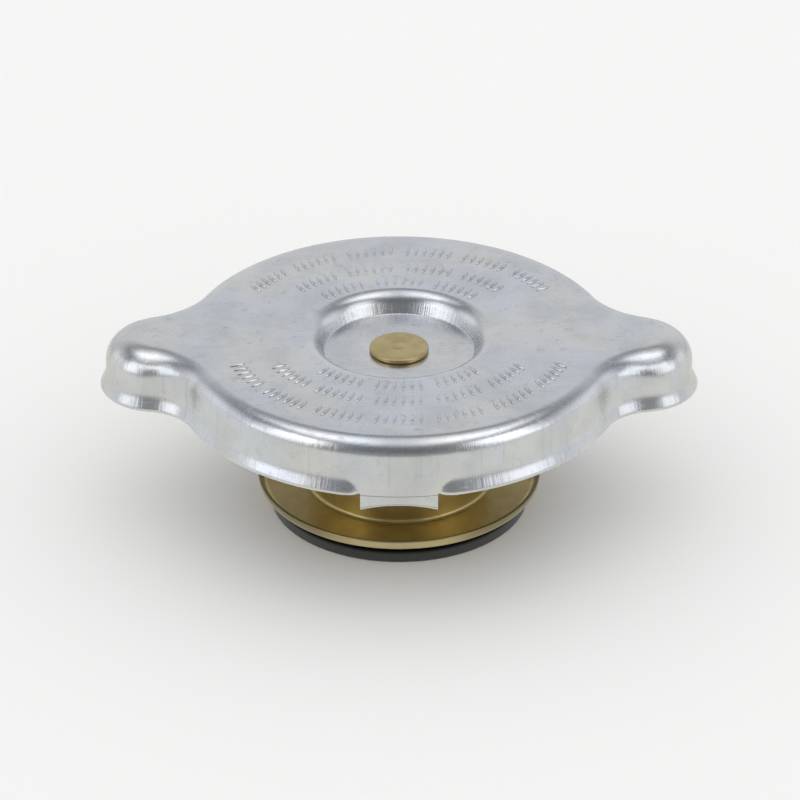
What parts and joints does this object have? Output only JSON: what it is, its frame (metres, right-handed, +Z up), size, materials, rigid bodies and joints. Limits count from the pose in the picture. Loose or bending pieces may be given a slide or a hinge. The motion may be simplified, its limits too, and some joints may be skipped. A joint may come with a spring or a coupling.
{
  "type": "radiator cap",
  "caption": "Pressure cap for a bayonet filler neck: pressed steel shell with finger ears and cam tabs, sprung pressure valve with rubber seal, and a small vacuum valve.",
  "frame": {"origin": "centre of the pressure seal's lower face, on the cap's axis; the cap stands on this face", "axes": "+Z up along the cap's axis, from the seal to the rivet's head; +X through the finger ears; the cam tabs lie on +Y and -Y, and -Y is the front of the picture"},
  "size_m": [0.0898, 0.066, 0.0284],
  "materials": {
    "zinc_plate": "bright zinc plate",
    "brass": "drawn brass",
    "rubber": "matt black",
    "spring_steel": "plain"
  },
  "bodies": {
    "shell": {"shell": "zinc_plate"},
    "carrier": {"rivet": "brass", "diaphragm": "spring_steel", "upper_gasket": "rubber", "bell": "brass", "main_spring": "spring_steel"},
    "pressure_valve": {"valve_sleeve": "brass", "valve_plate": "brass", "pressure_seal": "rubber", "seal_retainer": "brass", "vacuum_spring": "spring_steel"},
    "vacuum_valve": {"vacuum_valve": "brass", "vacuum_seal": "rubber", "vacuum_spring_cap": "brass"}
  },
  "joints": [
    {"name": "carrier_swivel", "type": "hinge", "parent": "shell", "child": "carrier", "pos_m": [0, 0, 0.0249], "axis": [0, 0, 1], "continuous": true},
    {"name": "pressure_lift", "type": "slide", "parent": "carrier", "child": "pressure_valve", "axis": [0, 0, 1], "range_m": [0, 0.0035], "stiffness_N_per_m": 7500, "springref_m": -0.012, "deforming": ["main_spring"]},
    {"name": "vacuum_drop", "type": "slide", "parent": "pressure_valve", "child": "vacuum_valve", "axis": [0, 0, -1], "range_m": [0, 0.0015], "stiffness_N_per_m": 300, "springref_m": -0.002, "deforming": ["vacuum_spring"]}
  ]
}
